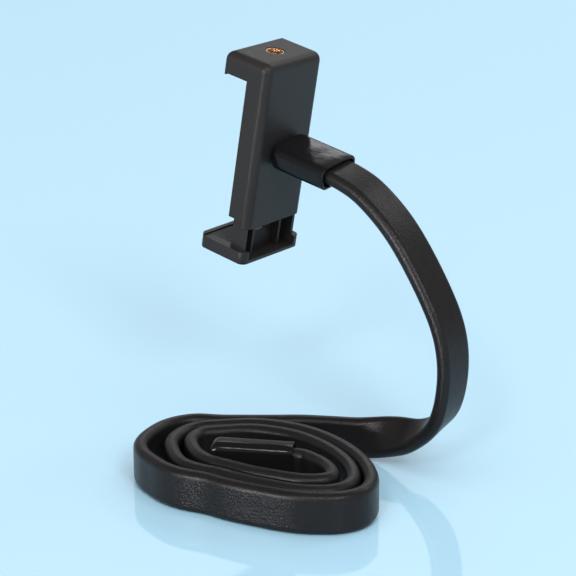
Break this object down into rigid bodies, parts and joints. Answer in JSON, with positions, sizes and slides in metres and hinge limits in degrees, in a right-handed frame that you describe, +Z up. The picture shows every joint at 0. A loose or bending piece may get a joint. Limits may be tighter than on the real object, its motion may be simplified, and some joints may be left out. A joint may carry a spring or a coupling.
{
  "type": "bendable phone stand",
  "caption": "Bendable phone stand: a flat soft strip with wire cores wound into an oval base coil, rising as a C-shaped arm to a spring-loaded phone clamp.",
  "frame": {"origin": "on the table under the middle of the base coil", "axes": "+Z up; +X from the arm towards the coil; the clamp opens towards -Y and its width runs along X"},
  "size_m": [0.1098, 0.1201, 0.1641],
  "materials": {
    "clamp_plastic": "fine matte black moulding",
    "sleeve_plastic": "gloss black moulding",
    "sheath_rubber": "satin black with a fine pebbled grain",
    "pad_rubber": "soft matte black",
    "brass": "turned, coppery",
    "steel": "bright spring steel",
    "wire": "soft annealed wire"
  },
  "bodies": {
    "base": {"strip_coil": "sheath_rubber", "wires_coil": "wire", "tail_sleeve": "sleeve_plastic", "flex_1": "sheath_rubber", "flex_wires_1": "wire"},
    "arm_low": {"strip_1": "sheath_rubber", "wires_1": "wire", "flex_2": "sheath_rubber", "flex_wires_2": "wire"},
    "arm_middle": {"strip_2": "sheath_rubber", "wires_2": "wire", "flex_3": "sheath_rubber", "flex_wires_3": "wire"},
    "arm_high": {"strip_3": "sheath_rubber", "wires_3": "wire", "head_sleeve": "sleeve_plastic", "head_stud": "steel"},
    "clamp": {"clamp_body": "clamp_plastic", "top_insert": "brass", "back_insert": "brass", "top_jaw_pad": "pad_rubber", "rest_pad": "pad_rubber", "spring_pin": "steel", "jaw_spring": "steel"},
    "jaw": {"lower_jaw": "clamp_plastic", "lower_jaw_pad": "pad_rubber"}
  },
  "joints": [
    {"name": "bend_1", "type": "hinge", "parent": "base", "child": "arm_low", "pos_m": [-0.05578, 0.0477, 0.03448], "axis": [1, 0, 0], "range_deg": [-20, 6], "deforming": ["flex_1", "flex_wires_1"]},
    {"name": "bend_2", "type": "hinge", "parent": "arm_low", "child": "arm_middle", "pos_m": [-0.05578, 0.04329, 0.07051], "axis": [1, 0, 0], "range_deg": [-20, 6], "deforming": ["flex_2", "flex_wires_2"]},
    {"name": "bend_3", "type": "hinge", "parent": "arm_middle", "child": "arm_high", "pos_m": [-0.05578, 0.01489, 0.10644], "axis": [1, 0, 0], "range_deg": [-20, 6], "deforming": ["flex_3", "flex_wires_3"]},
    {"name": "head_swivel", "type": "hinge", "parent": "arm_high", "child": "clamp", "pos_m": [-0.05578, -0.03707, 0.12245], "axis": [0, -0.9848, 0.1736], "range_deg": [-90, 90]},
    {"name": "jaw_slide", "type": "slide", "parent": "clamp", "child": "jaw", "axis": [0, 0.1736, 0.9848], "range_m": [-0.013, 0.0093], "stiffness_N_per_m": 150, "springref_m": 0.0093, "deforming": ["jaw_spring"]}
  ]
}
